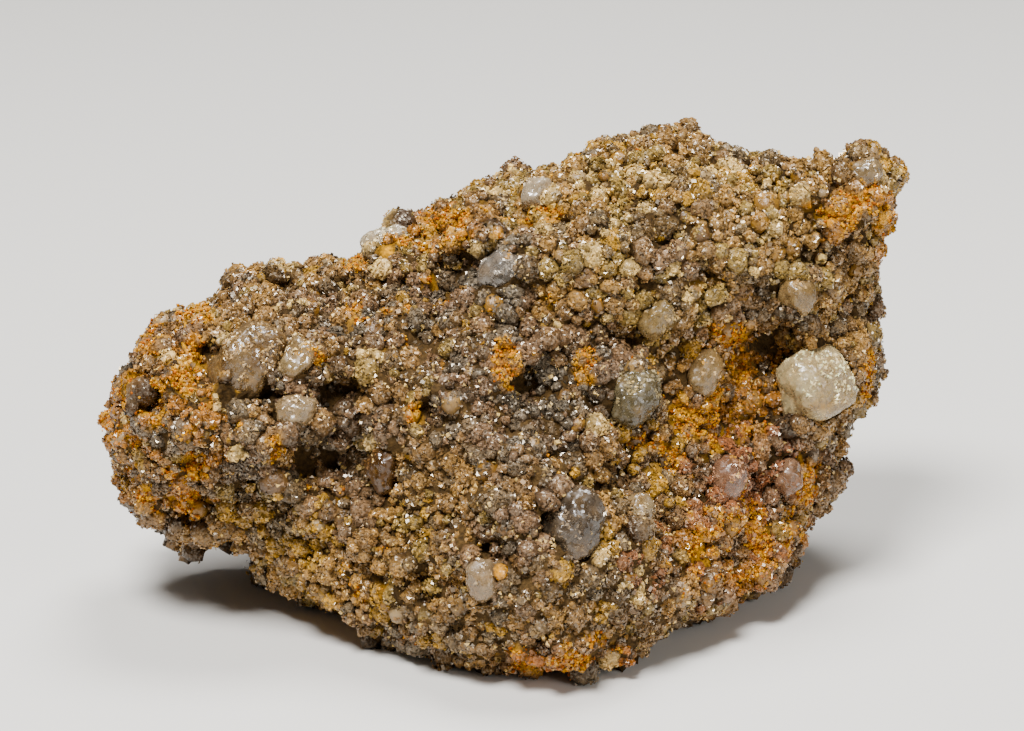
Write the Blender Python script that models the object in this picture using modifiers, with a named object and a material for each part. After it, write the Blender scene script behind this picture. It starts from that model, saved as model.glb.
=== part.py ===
"""Chlorargyrite specimen: a rough lump of cemented quartz grit whose grains are crusted with
tiny chlorargyrite crystals, with larger quartz grains set in its front.

The lump is laid out on its broad face. x runs to the right along the face, v runs up it and
w comes out of it, all in millimetres from the middle of the face. The face leans back, so an
empty turns this layout into the upright specimen, which rests on its flat broken underside.
"""

import math
from typing import NamedTuple

import bmesh
import bpy
import numpy as np
from mathutils import Matrix, Vector, kdtree
from mathutils.bvhtree import BVHTree

NAME = "chlorargyrite_specimen"
MM = 0.001
FACE_LEAN = math.radians(18)
REST_BELOW_MIDDLE = 22.3
POCKET_GAP = 0.3
SEED = 4914

# Outline of the broad face, as (x, v), clockwise from the left end.
OUTLINE = [
    (-36.6, -2.6),
    (-36.0, 0.2),
    (-34.2, 4.0),
    (-30.8, 7.9),
    (-26.8, 10.9),
    (-24.6, 9.0),
    (-23.5, 11.4),
    (-21.2, 13.0),
    (-18.4, 12.6),
    (-16.9, 11.3),
    (-15.0, 12.2),
    (-12.2, 15.0),
    (-8.3, 17.2),
    (-3.0, 19.5),
    (3.7, 21.2),
    (11.6, 24.0),
    (15.4, 23.8),
    (17.8, 22.8),
    (18.4, 21.6),
    (25.5, 21.4),
    (27.2, 22.2),
    (30.0, 23.2),
    (32.0, 22.8),
    (35.8, 19.0),
    (34.6, 16.0),
    (34.0, 11.8),
    (32.8, 10.2),
    (33.4, 6.4),
    (33.6, 2.4),
    (31.6, -2.6),
    (29.7, -4.7),
    (29.6, -8.0),
    (26.8, -12.0),
    (22.4, -17.1),
    (15.0, -20.6),
    (9.7, -23.3),
    (2.7, -24.1),
    (-6.9, -22.8),
    (-12.7, -21.3),
    (-18.3, -18.2),
    (-24.4, -15.4),
    (-24.9, -13.0),
    (-28.6, -12.4),
    (-31.4, -14.3),
    (-32.9, -12.2),
    (-34.6, -8.9),
    (-36.2, -5.2),
]
OUTLINE_MIDDLE = (-0.7, 0.0)
SMOOTHED_OVER = math.radians(22)
SMOOTHING_STEPS = 13
DETAIL_REACH = 0.75

# How far out of the face the widest edge lies, as (bearing in degrees, w). The right end is
# turned away from the front, and the bottom comes furthest forward.
EDGE_DEPTH = [
    (0, -24),
    (33, -20),
    (60, -17),
    (90, -17),
    (120, -18),
    (150, -21),
    (165, -14),
    (180, -10),
    (198, -13),
    (212, -17),
    (225, -13),
    (240, -9),
    (265, -3),
    (283, -1),
    (300, -5),
    (320, -13),
    (340, -22),
]
EDGE_SMOOTHED_OVER = math.radians(20)
MIDDLE_DEPTH = -12.0
FRONT_SWELL = 16.5
BACK_SWELL = 13.5
FRONT_POWER = 2.5
BACK_POWER = 2.5
FRONT_EDGE = 2.5

# Rounded lumps of grains, from coarse to fine: spacing, and depth of the clefts between them.
LUMPS = [(7.5, 1.9), (3.7, 1.5), (2.0, 0.8)]
LUMP_SIZES = (0.62, 0.86)
LUMP_ROUNDNESS = 0.62
LUMP_TOPS = 0.35
LUMP_TIPS = 1.5
LUMPS_NEAR = 4
CUT_FINENESS = 7
SOLID_GRID = 0.36
MATRIX_TRIANGLES = 5600

# The underside is broken off: whatever comes this near the resting surface is carried down
# past it by this much, and the cut then leaves one flat patch.
UNDERSIDE_BAND = 9.0
UNDERSIDE_PULL = 4.6
UNDERSIDE_EDGE = 1.6
CUTTER_SIZE = 120

RELIEF_EDGE = 2.2
RELIEF_STEEPNESS = 1.5


class Relief(NamedTuple):
    """A swelling (lift above 0) or hollow (below 0) of the front, in millimetres."""

    x: float
    v: float
    half_width: float
    half_height: float
    lift: float
    turn: float = 0.0


RELIEFS = {
    "upper_right_brow": Relief(12.5, 14.5, 11.0, 7.5, 1.8),
    "central_swelling": Relief(-1.0, -7.0, 11.0, 8.5, 1.4),
    "left_lobe_swelling": Relief(-29.5, 0.5, 6.0, 8.0, 2.0),
    "horn_swelling": Relief(30.5, 17.0, 5.0, 6.0, 3.0),
    "right_end_swelling": Relief(28.5, 0.5, 5.0, 9.0, 2.4),
    "saddle": Relief(-15.5, 4.5, 5.0, 9.0, -1.7, 12),
    "ochre_hollow": Relief(19.3, 2.6, 5.4, 5.2, -3.0, 25),
    "ochre_cavity": Relief(22.3, 3.6, 1.6, 1.4, -4.6),
    "cavity_lip": Relief(21.6, 5.8, 2.8, 1.1, 1.6, 12),
    "rose_hollow": Relief(20.6, -7.0, 6.0, 4.0, -1.9, 8),
    "upper_ledge": Relief(-2.4, 13.6, 4.6, 1.5, 2.2, 10),
    "ledge_recess": Relief(-3.8, 11.2, 2.8, 1.4, -2.6, 8),
    "left_recess": Relief(-14.2, -5.7, 3.8, 2.6, -3.0, 10),
    "left_recess_end": Relief(-16.6, -5.2, 1.5, 1.3, -2.2),
    "quartz_crack": Relief(-20.6, 0.0, 2.8, 0.9, -2.4, -32),
    "centre_pit": Relief(1.1, 1.1, 1.1, 1.0, -2.6),
    "middle_pit": Relief(-7.1, -1.8, 0.9, 1.4, -2.4),
    "lobe_pit": Relief(-25.7, 3.5, 0.9, 1.3, -2.6, -20),
    "lobe_end_pit": Relief(-31.0, -0.2, 1.0, 0.9, -2.2),
    "saddle_pit": Relief(-15.3, 0.2, 1.1, 1.1, -2.4),
    "low_pit": Relief(-1.9, -13.1, 1.2, 0.7, -2.0),
    "lobe_foot_pit": Relief(-28.3, -11.0, 1.6, 1.1, -2.6),
    "pebble_cleft": Relief(11.9, -10.1, 0.7, 2.0, -2.4),
    "brow_cleft": Relief(8.5, 4.6, 5.0, 1.0, -1.8, 24),
    "shoulder_cleft": Relief(17.0, 9.6, 4.6, 0.9, -1.7, -18),
    "horn_cleft": Relief(26.4, 15.5, 1.0, 4.0, -1.8, -14),
    "foot_cleft": Relief(-9.5, -15.5, 4.6, 0.9, -1.5, -12),
}


class Grain(NamedTuple):
    """A larger quartz grain: where it shows, half its size each way, its turn on the face in
    degrees, the share of its depth that stands proud, and how it is shaped and coloured."""

    x: float
    v: float
    half_length: float
    half_width: float
    half_depth: float
    turn: float
    proud: float
    form: str
    quartz: str


GRAINS = {
    "quartz_big_right": Grain(26.3, 1.0, 3.9, 3.4, 3.0, 20, 0.50, "block", "milky_quartz"),
    "quartz_grey_middle": Grain(4.9, -10.3, 2.9, 2.3, 2.2, 80, 0.50, "pebble", "smoky_quartz"),
    "quartz_beside_middle": Grain(10.2, -10.4, 2.1, 1.3, 1.5, 76, 0.45, "pebble", "milky_quartz"),
    "quartz_oval_right": Grain(16.1, 1.8, 2.1, 1.3, 1.5, 86, 0.45, "pebble", "smoky_quartz"),
    "quartz_round_low": Grain(-2.8, -14.9, 1.7, 1.4, 1.4, 80, 0.50, "pebble", "milky_quartz"),
    "quartz_long_left": Grain(-22.4, 3.0, 4.2, 2.3, 2.2, 52, 0.42, "block", "smoky_quartz"),
    "quartz_second_left": Grain(-18.2, 3.0, 1.8, 1.2, 1.4, 70, 0.45, "block", "milky_quartz"),
    "quartz_low_left": Grain(-18.4, -1.4, 1.8, 1.2, 1.4, 12, 0.50, "block", "milky_quartz"),
    "quartz_ridge_white": Grain(-11.1, 13.2, 1.9, 1.2, 1.4, 14, 0.50, "block", "milky_quartz"),
    "quartz_blue_grey": Grain(-1.2, 10.6, 2.0, 1.5, 1.6, 20, 0.40, "pebble", "smoky_quartz"),
    "quartz_block_top": Grain(1.9, 17.1, 1.4, 1.1, 1.3, 84, 0.50, "block", "milky_quartz"),
    "quartz_brown_oval": Grain(-10.8, -5.8, 2.3, 1.4, 1.5, 82, 0.35, "pebble", "smoky_quartz"),
    "quartz_centre_grey": Grain(9.8, -0.1, 2.5, 2.3, 1.8, 60, 0.35, "pebble", "smoky_quartz"),
    "quartz_rose_left": Grain(18.2, -7.1, 2.0, 1.3, 1.5, 82, 0.45, "pebble", "rose_quartz"),
    "quartz_rose_right": Grain(23.6, -7.0, 1.6, 1.2, 1.3, 80, 0.45, "pebble", "rose_quartz"),
    "quartz_cream_right": Grain(24.2, 8.6, 1.6, 1.4, 1.5, 15, 0.50, "block", "milky_quartz"),
    "quartz_clear_brow": Grain(12.0, 6.6, 1.7, 1.5, 1.5, 35, 0.45, "block", "smoky_quartz"),
    "quartz_horn": Grain(30.2, 19.2, 1.6, 1.2, 1.3, 10, 0.45, "pebble", "milky_quartz"),
}
BLOCK_CORNERS = 26
BLOCK_SCATTER = 0.12
BLOCK_SQUARENESS = 0.8
LARGE_PEBBLE = 2.2
PEBBLE_FLATS = 7
PEBBLE_PRESS = 0.16
PEBBLE_FLAT_FROM = 0.55
POCKET_SPREAD = 1.12
UPRIGHT_SHARE = 1.2
RAYS_AROUND = 8
RAYS_FROM = 60.0


class Finish(NamedTuple):
    """Linear base colour, roughness and transmission of one kind of surface."""

    colour: tuple
    roughness: float
    transmission: float


FINISHES = {
    "crusted_grit": Finish((0.30, 0.22, 0.12), 0.62, 0.0),
    "milky_quartz": Finish((0.72, 0.66, 0.54), 0.28, 0.35),
    "smoky_quartz": Finish((0.36, 0.33, 0.30), 0.24, 0.45),
    "rose_quartz": Finish((0.46, 0.26, 0.18), 0.30, 0.35),
}


def clear_scene():
    for obj in list(bpy.data.objects):
        bpy.data.objects.remove(obj, do_unlink=True)


def new_collection(name, rendered=True):
    collection = bpy.data.collections.new(name)
    bpy.context.scene.collection.children.link(collection)
    collection.hide_render = not rendered
    return collection


def make_material(name):
    finish = FINISHES[name]
    material = bpy.data.materials.new(name)
    material.use_nodes = True
    shader = material.node_tree.nodes["Principled BSDF"]
    shader.inputs["Base Color"].default_value = (*finish.colour, 1.0)
    shader.inputs["Roughness"].default_value = finish.roughness
    shader.inputs["Metallic"].default_value = 0.0
    shader.inputs["Transmission Weight"].default_value = finish.transmission
    material.diffuse_color = (*finish.colour, 1.0)
    return material


def periodic(bearings, values):
    """A function that joins values given at bearings (radians) all the way round."""
    order = np.argsort(bearings)
    at = np.asarray(bearings)[order]
    given = np.asarray(values)[order]
    at = np.concatenate([at - math.tau, at, at + math.tau])
    given = np.tile(given, 3)
    return lambda bearing: np.interp(bearing, at, given)


def averaged(function, over):
    """The function averaged over a span of bearings, which rounds its corners off."""
    steps = np.linspace(-0.5, 0.5, SMOOTHING_STEPS) * over
    return lambda bearing: np.mean([function(bearing + step) for step in steps], axis=0)


def outline_reach():
    """Distance from the middle of the face to its outline at each bearing."""
    points = np.array(OUTLINE) - OUTLINE_MIDDLE
    bearings = np.arctan2(points[:, 1], points[:, 0]) % math.tau
    return periodic(bearings, np.hypot(points[:, 0], points[:, 1]))


def edge_depth():
    bearings, depths = zip(*EDGE_DEPTH)
    return averaged(periodic(np.radians(bearings), depths), EDGE_SMOOTHED_OVER)


def plain_lump(directions):
    """Unit directions carried onto the smooth lump. The outline holds close to the edge and
    softens towards the middle of the front and of the back, so that it leaves no spokes."""
    out_of_face = directions[:, 2]
    bearing = np.arctan2(directions[:, 1], directions[:, 0]) % math.tau
    steepness = np.arcsin(np.clip(out_of_face, -1, 1)) / (math.pi / 2)
    power = np.where(out_of_face > 0, FRONT_POWER, BACK_POWER)
    angle = np.abs(steepness) * math.pi / 2
    across = np.cos(angle) ** (2 / power)
    along = np.sin(angle) ** (2 / power)
    sharp = outline_reach()
    soft = averaged(sharp, SMOOTHED_OVER)
    near_edge = np.clip(1 - np.abs(steepness) / DETAIL_REACH, 0, 1)
    near_edge = near_edge**2 * (3 - 2 * near_edge)
    reach = soft(bearing) + (sharp(bearing) - soft(bearing)) * near_edge
    swell = np.where(out_of_face > 0, FRONT_SWELL, -BACK_SWELL)
    depth = edge_depth()(bearing) * across + MIDDLE_DEPTH * (1 - across) + swell * along
    x = OUTLINE_MIDDLE[0] + reach * across * np.cos(bearing)
    v = OUTLINE_MIDDLE[1] + reach * across * np.sin(bearing)
    return np.column_stack([x, v, depth])


def relief_lift(relief, x, v):
    turn = math.radians(relief.turn)
    along = (x - relief.x) * math.cos(turn) + (v - relief.v) * math.sin(turn)
    across = (v - relief.v) * math.cos(turn) - (x - relief.x) * math.sin(turn)
    away = (along / relief.half_width) ** 2 + (across / relief.half_height) ** 2
    return relief.lift * np.clip(1 - away / RELIEF_EDGE, 0, 1) ** RELIEF_STEEPNESS


def spaced_picks(points, spacing, random):
    """Points of a set picked in random order, each at least the spacing from the others."""
    taken = np.zeros(len(points), bool)
    tree = kdtree.KDTree(len(points))
    for index, point in enumerate(points):
        tree.insert(point, index)
    tree.balance()
    picked = []
    for index in random.permutation(len(points)):
        if taken[index]:
            continue
        picked.append(index)
        for _, near, _ in tree.find_range(points[index], spacing):
            taken[near] = True
    return points[picked]


def clefts(points, spacing, depth, random):
    """How deep each point lies in the clefts between rounded lumps of about the spacing."""
    centres = spaced_picks(points, spacing, random)
    sizes = spacing * random.uniform(*LUMP_SIZES, len(centres))
    tops = random.uniform(0.0, LUMP_TOPS, len(centres))
    tree = kdtree.KDTree(len(centres))
    for index, centre in enumerate(centres):
        tree.insert(centre, index)
    tree.balance()
    sunk = np.ones(len(points))
    for index, point in enumerate(points):
        for _, near, distance in tree.find_n(point, LUMPS_NEAR):
            slope = min(distance / sizes[near], 1.0)
            dome = 1 - (1 - slope**2) ** LUMP_ROUNDNESS + tops[near]
            sunk[index] = min(sunk[index], dome)
    return depth * sunk


def vertex_normals(mesh):
    normals = np.empty(len(mesh.vertices) * 3)
    mesh.vertices.foreach_get("normal", normals)
    return normals.reshape(-1, 3)


def move_vertices(mesh, points):
    mesh.vertices.foreach_set("co", points.ravel())
    mesh.update()


def carried_down(points, normals):
    """Points of the underside moved down towards the resting surface."""
    up = np.array([0, math.cos(FACE_LEAN), math.sin(FACE_LEAN)])
    height = points @ up + REST_BELOW_MIDDLE
    facing_back = np.clip(-normals[:, 2] * FRONT_EDGE, 0, 1)
    facing_down = np.clip(-(normals @ up) * UNDERSIDE_EDGE, 0, 1)
    near = np.clip(1 - height / UNDERSIDE_BAND, 0, 1)
    return points - up * (UNDERSIDE_PULL * facing_back * facing_down * near)[:, None]


def lump_mesh(random):
    """The whole lump, finely cut, with its swellings, hollows and clefts."""
    mesh = bpy.data.meshes.new("matrix")
    cage = bmesh.new()
    bmesh.ops.create_icosphere(cage, subdivisions=CUT_FINENESS, radius=1.0)
    cage.to_mesh(mesh)
    cage.free()
    directions = np.empty(len(mesh.vertices) * 3)
    mesh.vertices.foreach_get("co", directions)
    points = plain_lump(directions.reshape(-1, 3))
    move_vertices(mesh, points)
    facing = np.clip(vertex_normals(mesh)[:, 2] * FRONT_EDGE, 0, 1)
    for relief in RELIEFS.values():
        points[:, 2] += relief_lift(relief, points[:, 0], points[:, 1]) * facing
    move_vertices(mesh, points)
    points = carried_down(points, vertex_normals(mesh))
    move_vertices(mesh, points)
    sunk = sum(clefts(points, spacing, depth, random) for spacing, depth in LUMPS) - LUMP_TIPS
    move_vertices(mesh, (points - vertex_normals(mesh) * sunk[:, None]) * MM)
    return mesh


def block_mesh(name, grain, random):
    """A grain with flat faces: the hull of corners spread over an egg shape."""
    turns = np.arange(BLOCK_CORNERS) + 0.5
    height = 1 - 2 * turns / BLOCK_CORNERS
    bearing = turns * math.pi * (3 - math.sqrt(5))
    ring = np.sqrt(1 - height**2)
    corners = np.column_stack([ring * np.cos(bearing), ring * np.sin(bearing), height])
    corners = corners + random.normal(0, BLOCK_SCATTER, corners.shape)
    corners = np.sign(corners) * np.abs(corners) ** BLOCK_SQUARENESS
    corners *= 1 / np.abs(corners).max(axis=0)
    solid = bmesh.new()
    for corner in corners * grain_halves(grain):
        solid.verts.new(corner)
    bmesh.ops.convex_hull(solid, input=solid.verts, use_existing_faces=False)
    loose = [vertex for vertex in solid.verts if not vertex.link_faces]
    bmesh.ops.delete(solid, geom=loose, context="VERTS")
    bmesh.ops.recalc_face_normals(solid, faces=solid.faces)
    return finished_mesh(name, solid)


def pebble_mesh(name, grain, random):
    """A water-worn grain: a ball pressed a little flat in a few directions."""
    solid = bmesh.new()
    fineness = 3 if grain.half_length > LARGE_PEBBLE else 2
    bmesh.ops.create_icosphere(solid, subdivisions=fineness, radius=1.0)
    flats = random.normal(0, 1, (PEBBLE_FLATS, 3))
    flats /= np.linalg.norm(flats, axis=1)[:, None]
    for vertex in solid.verts:
        facing = max(float(np.dot(flat, vertex.co)) for flat in flats)
        pressed = max(0.0, facing - PEBBLE_FLAT_FROM) / (1 - PEBBLE_FLAT_FROM)
        vertex.co *= 1 - PEBBLE_PRESS * pressed
    points = np.array([vertex.co for vertex in solid.verts])
    stretch = grain_halves(grain) / np.abs(points).max(axis=0)
    bmesh.ops.scale(solid, vec=Vector(stretch), verts=solid.verts)
    return finished_mesh(name, solid)


def grain_halves(grain):
    return np.array([grain.half_length, grain.half_width, grain.half_depth]) * MM


def finished_mesh(name, solid):
    bmesh.ops.triangulate(solid, faces=solid.faces)
    mesh = bpy.data.meshes.new(name)
    solid.to_mesh(mesh)
    solid.free()
    return mesh


def swollen_copy(mesh, name):
    """The same shape grown by the pocket's gap along its vertex normals."""
    pocket = mesh.copy()
    pocket.name = name
    points = np.array([vertex.co for vertex in mesh.vertices])
    move_vertices(pocket, points + vertex_normals(mesh) * POCKET_GAP * POCKET_SPREAD * MM)
    return pocket


def link(mesh, collection, parent, material=None):
    obj = bpy.data.objects.new(mesh.name, mesh)
    obj.parent = parent
    collection.objects.link(obj)
    if material:
        mesh.materials.append(material)
    return obj


def hide_cutter(obj):
    obj.hide_render = True
    obj.display_type = "WIRE"


def front_around(surface, grain):
    """Mean depth and facing of the front around a grain, from rays cast down at it."""
    depths = []
    facings = []
    mean_half = (grain.half_length + grain.half_width) / 2
    for step in range(RAYS_AROUND + 1):
        bearing = step * math.tau / RAYS_AROUND
        reach = 0.0 if step == RAYS_AROUND else mean_half
        x = grain.x + reach * math.cos(bearing)
        v = grain.v + reach * math.sin(bearing)
        start = Vector((x, v, RAYS_FROM)) * MM
        struck, facing, _, _ = surface.ray_cast(start, Vector((0, 0, -1)))
        if struck:
            depths.append(struck.z)
            facings.append(facing)
    return sum(depths) / len(depths), sum(facings, Vector()) / len(facings)


def add_grain(name, grain, surface, collections, parent, materials, random):
    """A quartz grain seated on the front, and the cutter of the pocket that holds it."""
    depth, facing = front_around(surface, grain)
    turn = Matrix.Rotation(math.radians(grain.turn), 4, "Z")
    upright = facing + Vector((0, 0, UPRIGHT_SHARE))
    lean = Vector((0, 0, 1)).rotation_difference(upright.normalized())
    middle = Vector((grain.x, grain.v, 0)) * MM
    middle.z = depth + grain.half_depth * (2 * grain.proud - 1) * MM
    place = Matrix.Translation(middle) @ lean.to_matrix().to_4x4() @ turn
    shape = block_mesh if grain.form == "block" else pebble_mesh
    mesh = shape(name, grain, random)
    pocket = swollen_copy(mesh, f"{name}_pocket")
    seated = link(mesh, collections["parts"], parent, materials[grain.quartz])
    seated.matrix_local = place
    cutter = link(pocket, collections["pockets"], parent)
    cutter.matrix_local = place
    hide_cutter(cutter)
    if grain.form == "pebble":
        mesh.shade_smooth()


def add_underside_cutter(collection):
    """A block whose top is the surface that the specimen rests on."""
    mesh = bpy.data.meshes.new("underside_cutter")
    block = bmesh.new()
    size = CUTTER_SIZE * MM
    bmesh.ops.create_cube(block, size=size)
    bmesh.ops.translate(block, vec=Vector((0, 0, -size / 2)), verts=block.verts)
    block.to_mesh(mesh)
    block.free()
    cutter = link(mesh, collection, None)
    hide_cutter(cutter)
    return cutter


def skin_triangles(matrix):
    """How many triangles the remeshed skin has before it is simplified."""
    graph = bpy.context.evaluated_depsgraph_get()
    mesh = matrix.evaluated_get(graph).data
    return sum(len(face.vertices) - 2 for face in mesh.polygons)


def finish_matrix(matrix, underside, pockets):
    """One clean skin with fewer faces, then the flat underside and the quartz pockets."""
    skin = matrix.modifiers.new("one_skin", "REMESH")
    skin.mode = "VOXEL"
    skin.voxel_size = SOLID_GRID * MM
    fewer = matrix.modifiers.new("fewer_faces", "DECIMATE")
    fewer.ratio = MATRIX_TRIANGLES / skin_triangles(matrix)
    rest = matrix.modifiers.new("flat_underside", "BOOLEAN")
    rest.operation = "DIFFERENCE"
    rest.object = underside
    for cutter in pockets.objects:
        pocket = matrix.modifiers.new(cutter.name, "BOOLEAN")
        pocket.operation = "DIFFERENCE"
        pocket.object = cutter


def connected_faces(first):
    """All faces that can be reached from the first one across shared edges."""
    reached = {first}
    waiting = [first]
    while waiting:
        face = waiting.pop()
        for edge in face.edges:
            for beside in edge.link_faces:
                if beside not in reached:
                    reached.add(beside)
                    waiting.append(beside)
    return reached


def settle_matrix(matrix):
    """Applies the cuts, and drops the loose crumbs that a pocket's edge may leave."""
    graph = bpy.context.evaluated_depsgraph_get()
    mesh = bpy.data.meshes.new_from_object(matrix.evaluated_get(graph))
    solid = bmesh.new()
    solid.from_mesh(mesh)
    largest = max(solid.faces, key=lambda face: face.calc_area())
    body = connected_faces(largest)
    crumbs = [face for face in solid.faces if face not in body]
    bmesh.ops.delete(solid, geom=crumbs, context="FACES")
    solid.to_mesh(mesh)
    solid.free()
    matrix.modifiers.clear()
    matrix.data = mesh
    mesh.name = matrix.name


def centre_over_origin(holder, parts):
    """Moves the specimen so that the middle of its plan stands over the origin."""
    bpy.context.view_layer.update()
    graph = bpy.context.evaluated_depsgraph_get()
    corners = []
    for obj in parts.objects:
        evaluated = obj.evaluated_get(graph)
        world = obj.matrix_world
        corners += [world @ vertex.co for vertex in evaluated.data.vertices]
    corners = np.array(corners)
    middle = (corners.min(axis=0) + corners.max(axis=0)) / 2
    holder.location.x -= middle[0]
    holder.location.y -= middle[1]
    bpy.context.view_layer.update()


def main():
    clear_scene()
    random = np.random.RandomState(SEED)
    parts = new_collection(NAME)
    pockets = new_collection("pocket_cutters", rendered=False)
    cutters = new_collection("underside_cutters", rendered=False)
    materials = {name: make_material(name) for name in FINISHES}
    holder = bpy.data.objects.new("specimen_layout", None)
    holder.rotation_euler.x = math.pi / 2 - FACE_LEAN
    holder.location.z = REST_BELOW_MIDDLE * MM
    parts.objects.link(holder)
    mesh = lump_mesh(random)
    matrix = link(mesh, parts, holder, materials["crusted_grit"])
    surface = BVHTree.FromPolygons(
        [vertex.co for vertex in mesh.vertices],
        [tuple(face.vertices) for face in mesh.polygons],
    )
    collections = {"parts": parts, "pockets": pockets}
    for name, grain in GRAINS.items():
        add_grain(name, grain, surface, collections, holder, materials, random)
    finish_matrix(matrix, add_underside_cutter(cutters), pockets)
    settle_matrix(matrix)
    parts.objects.unlink(holder)
    bpy.context.scene.collection.objects.link(holder)
    centre_over_origin(holder, parts)


main()
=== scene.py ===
"""Chlorargyrite specimen: the finish of a lump of cemented quartz grit whose grains are crusted
with tiny silver chloride crystals, stained by limonite and set with larger quartz grains."""

import math
from functools import cache, reduce

import bmesh
import bpy
import numpy as np
from bpy.props import FloatProperty, FloatVectorProperty, IntProperty, PointerProperty
from bpy.types import Operator, Panel, PropertyGroup
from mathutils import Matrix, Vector, kdtree
from mathutils.bvhtree import BVHTree


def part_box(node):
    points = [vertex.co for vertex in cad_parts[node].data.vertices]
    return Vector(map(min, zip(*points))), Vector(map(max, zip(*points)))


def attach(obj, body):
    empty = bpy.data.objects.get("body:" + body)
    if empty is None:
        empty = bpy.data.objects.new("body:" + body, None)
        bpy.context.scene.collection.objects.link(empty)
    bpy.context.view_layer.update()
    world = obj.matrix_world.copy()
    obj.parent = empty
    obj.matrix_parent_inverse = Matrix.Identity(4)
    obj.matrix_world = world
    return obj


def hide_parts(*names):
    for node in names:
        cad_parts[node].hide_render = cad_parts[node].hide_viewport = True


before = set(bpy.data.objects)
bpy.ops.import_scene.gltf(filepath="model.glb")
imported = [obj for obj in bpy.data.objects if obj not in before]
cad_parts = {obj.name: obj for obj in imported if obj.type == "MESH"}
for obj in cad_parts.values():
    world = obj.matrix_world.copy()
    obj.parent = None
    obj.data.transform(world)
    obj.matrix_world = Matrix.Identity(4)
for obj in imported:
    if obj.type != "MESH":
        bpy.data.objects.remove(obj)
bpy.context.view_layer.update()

bl_info = {
    "name": "Chlorargyrite specimen finish",
    "version": (1, 0, 0),
    "blender": (4, 5, 0),
    "location": "3D View > Sidebar > Specimen",
    "description": "Grows the grit, crust, limonite and quartz of a chlorargyrite specimen",
    "category": "Mesh",
}

MM = 0.001

# The broad face leans back, and is looked at square on.
FACE_LEAN = math.radians(18)
RIGHT = np.array([1.0, 0.0, 0.0])
UP_FACE = np.array([0.0, math.sin(FACE_LEAN), math.cos(FACE_LEAN)])
OUT_OF_FACE = np.array([0.0, -math.cos(FACE_LEAN), math.sin(FACE_LEAN)])

# Places on the face are given in the reference picture's pixels, 1024 wide and 731 high.
PIXEL = 0.0882 * MM
OUTLINE_LEFT = 98
OUTLINE_TOP = 127
PICTURE_MIDDLE = (512.0, 365.5)
PICTURE_WIDTH = 1024
# The outline lies this far behind the specimen's middle, and the camera aims this much lower.
OUTLINE_BEHIND = 6.5 * MM
AIM_LOWER = 0.9 * MM
# A zone's share is full within this part of its squared reach, and fades out past that.
ZONE_FULL_WITHIN = 0.35


def linear(colour):
    """An sRGB hex colour as linear red, green and blue."""
    parts = np.array([int(colour[i : i + 2], 16) / 255 for i in (1, 3, 5)])
    return np.where(parts <= 0.04045, parts / 12.92, ((parts + 0.055) / 1.055) ** 2.4)


# Colours of crusted grains, by kind.
CRUSTS = {
    "taupe": linear("#6d4f2b"),
    "tan": linear("#88632f"),
    "olive": linear("#75602b"),
    "grey": linear("#574834"),
    "slate": linear("#4e473b"),
    "mauve": linear("#644a34"),
    "gold": linear("#99700f"),
    "dark": linear("#33261a"),
    "rose": linear("#784529"),
    "ochre": linear("#87520d"),
    "rust": linear("#8a4b0a"),
    "cream": linear("#c2a25f"),
}
# Tint of the glints on crystal faces.
GLINT = linear("#fff0d8")
# Painted shade: the dark brown that grains are darkened towards low down, where they meet.
PAINTED_CREVICE_SHADE = linear("#33200e")
# Cement deep in the gaps between grains: its brown darkened with painted shade. FILLING is the
# cement where it fills the gaps.
SHADED_CEMENT = linear("#38270e")
FILLING = linear("#4f3b1f")
LIMONITE = np.array([linear("#cb8e00"), linear("#c57c00"), linear("#984e00")])


class Zone:
    """An oval area of the face, in picture pixels, and the share of it that something takes."""

    def __init__(self, x, y, half_width, half_height, share=1.0):
        self.middle = np.array([x, y])
        self.half = np.array([half_width, half_height])
        self.share = share

    def weight(self, places):
        """The share at each place: full in the middle of the oval, fading out past its edge."""
        away = (((places - self.middle) / self.half) ** 2).sum(axis=1)
        return self.share * np.clip(1 + ZONE_FULL_WITHIN - away, 0, 1)


def zones(*rows):
    """Zones from rows of x, y, half width, half height and share."""
    return [Zone(*row) for row in rows]


def greatest(ovals, places):
    """The greatest share that any of these zones has at each place."""
    return reduce(np.maximum, (oval.weight(places) for oval in ovals))


# How common each kind is where no zone says more.
EVERYWHERE = {
    "taupe": 0.34, "tan": 0.19, "grey": 0.12, "mauve": 0.10, "gold": 0.04,
    "olive": 0.08, "slate": 0.06, "dark": 0.08, "cream": 0.04,
}
# How much commoner each kind is in some patches of the crust than in others.
PATCHES = {"slate": 3.5, "grey": 2.0, "mauve": 1.0, "tan": -1.5, "olive": -2.0, "cream": -1.5}
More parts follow.
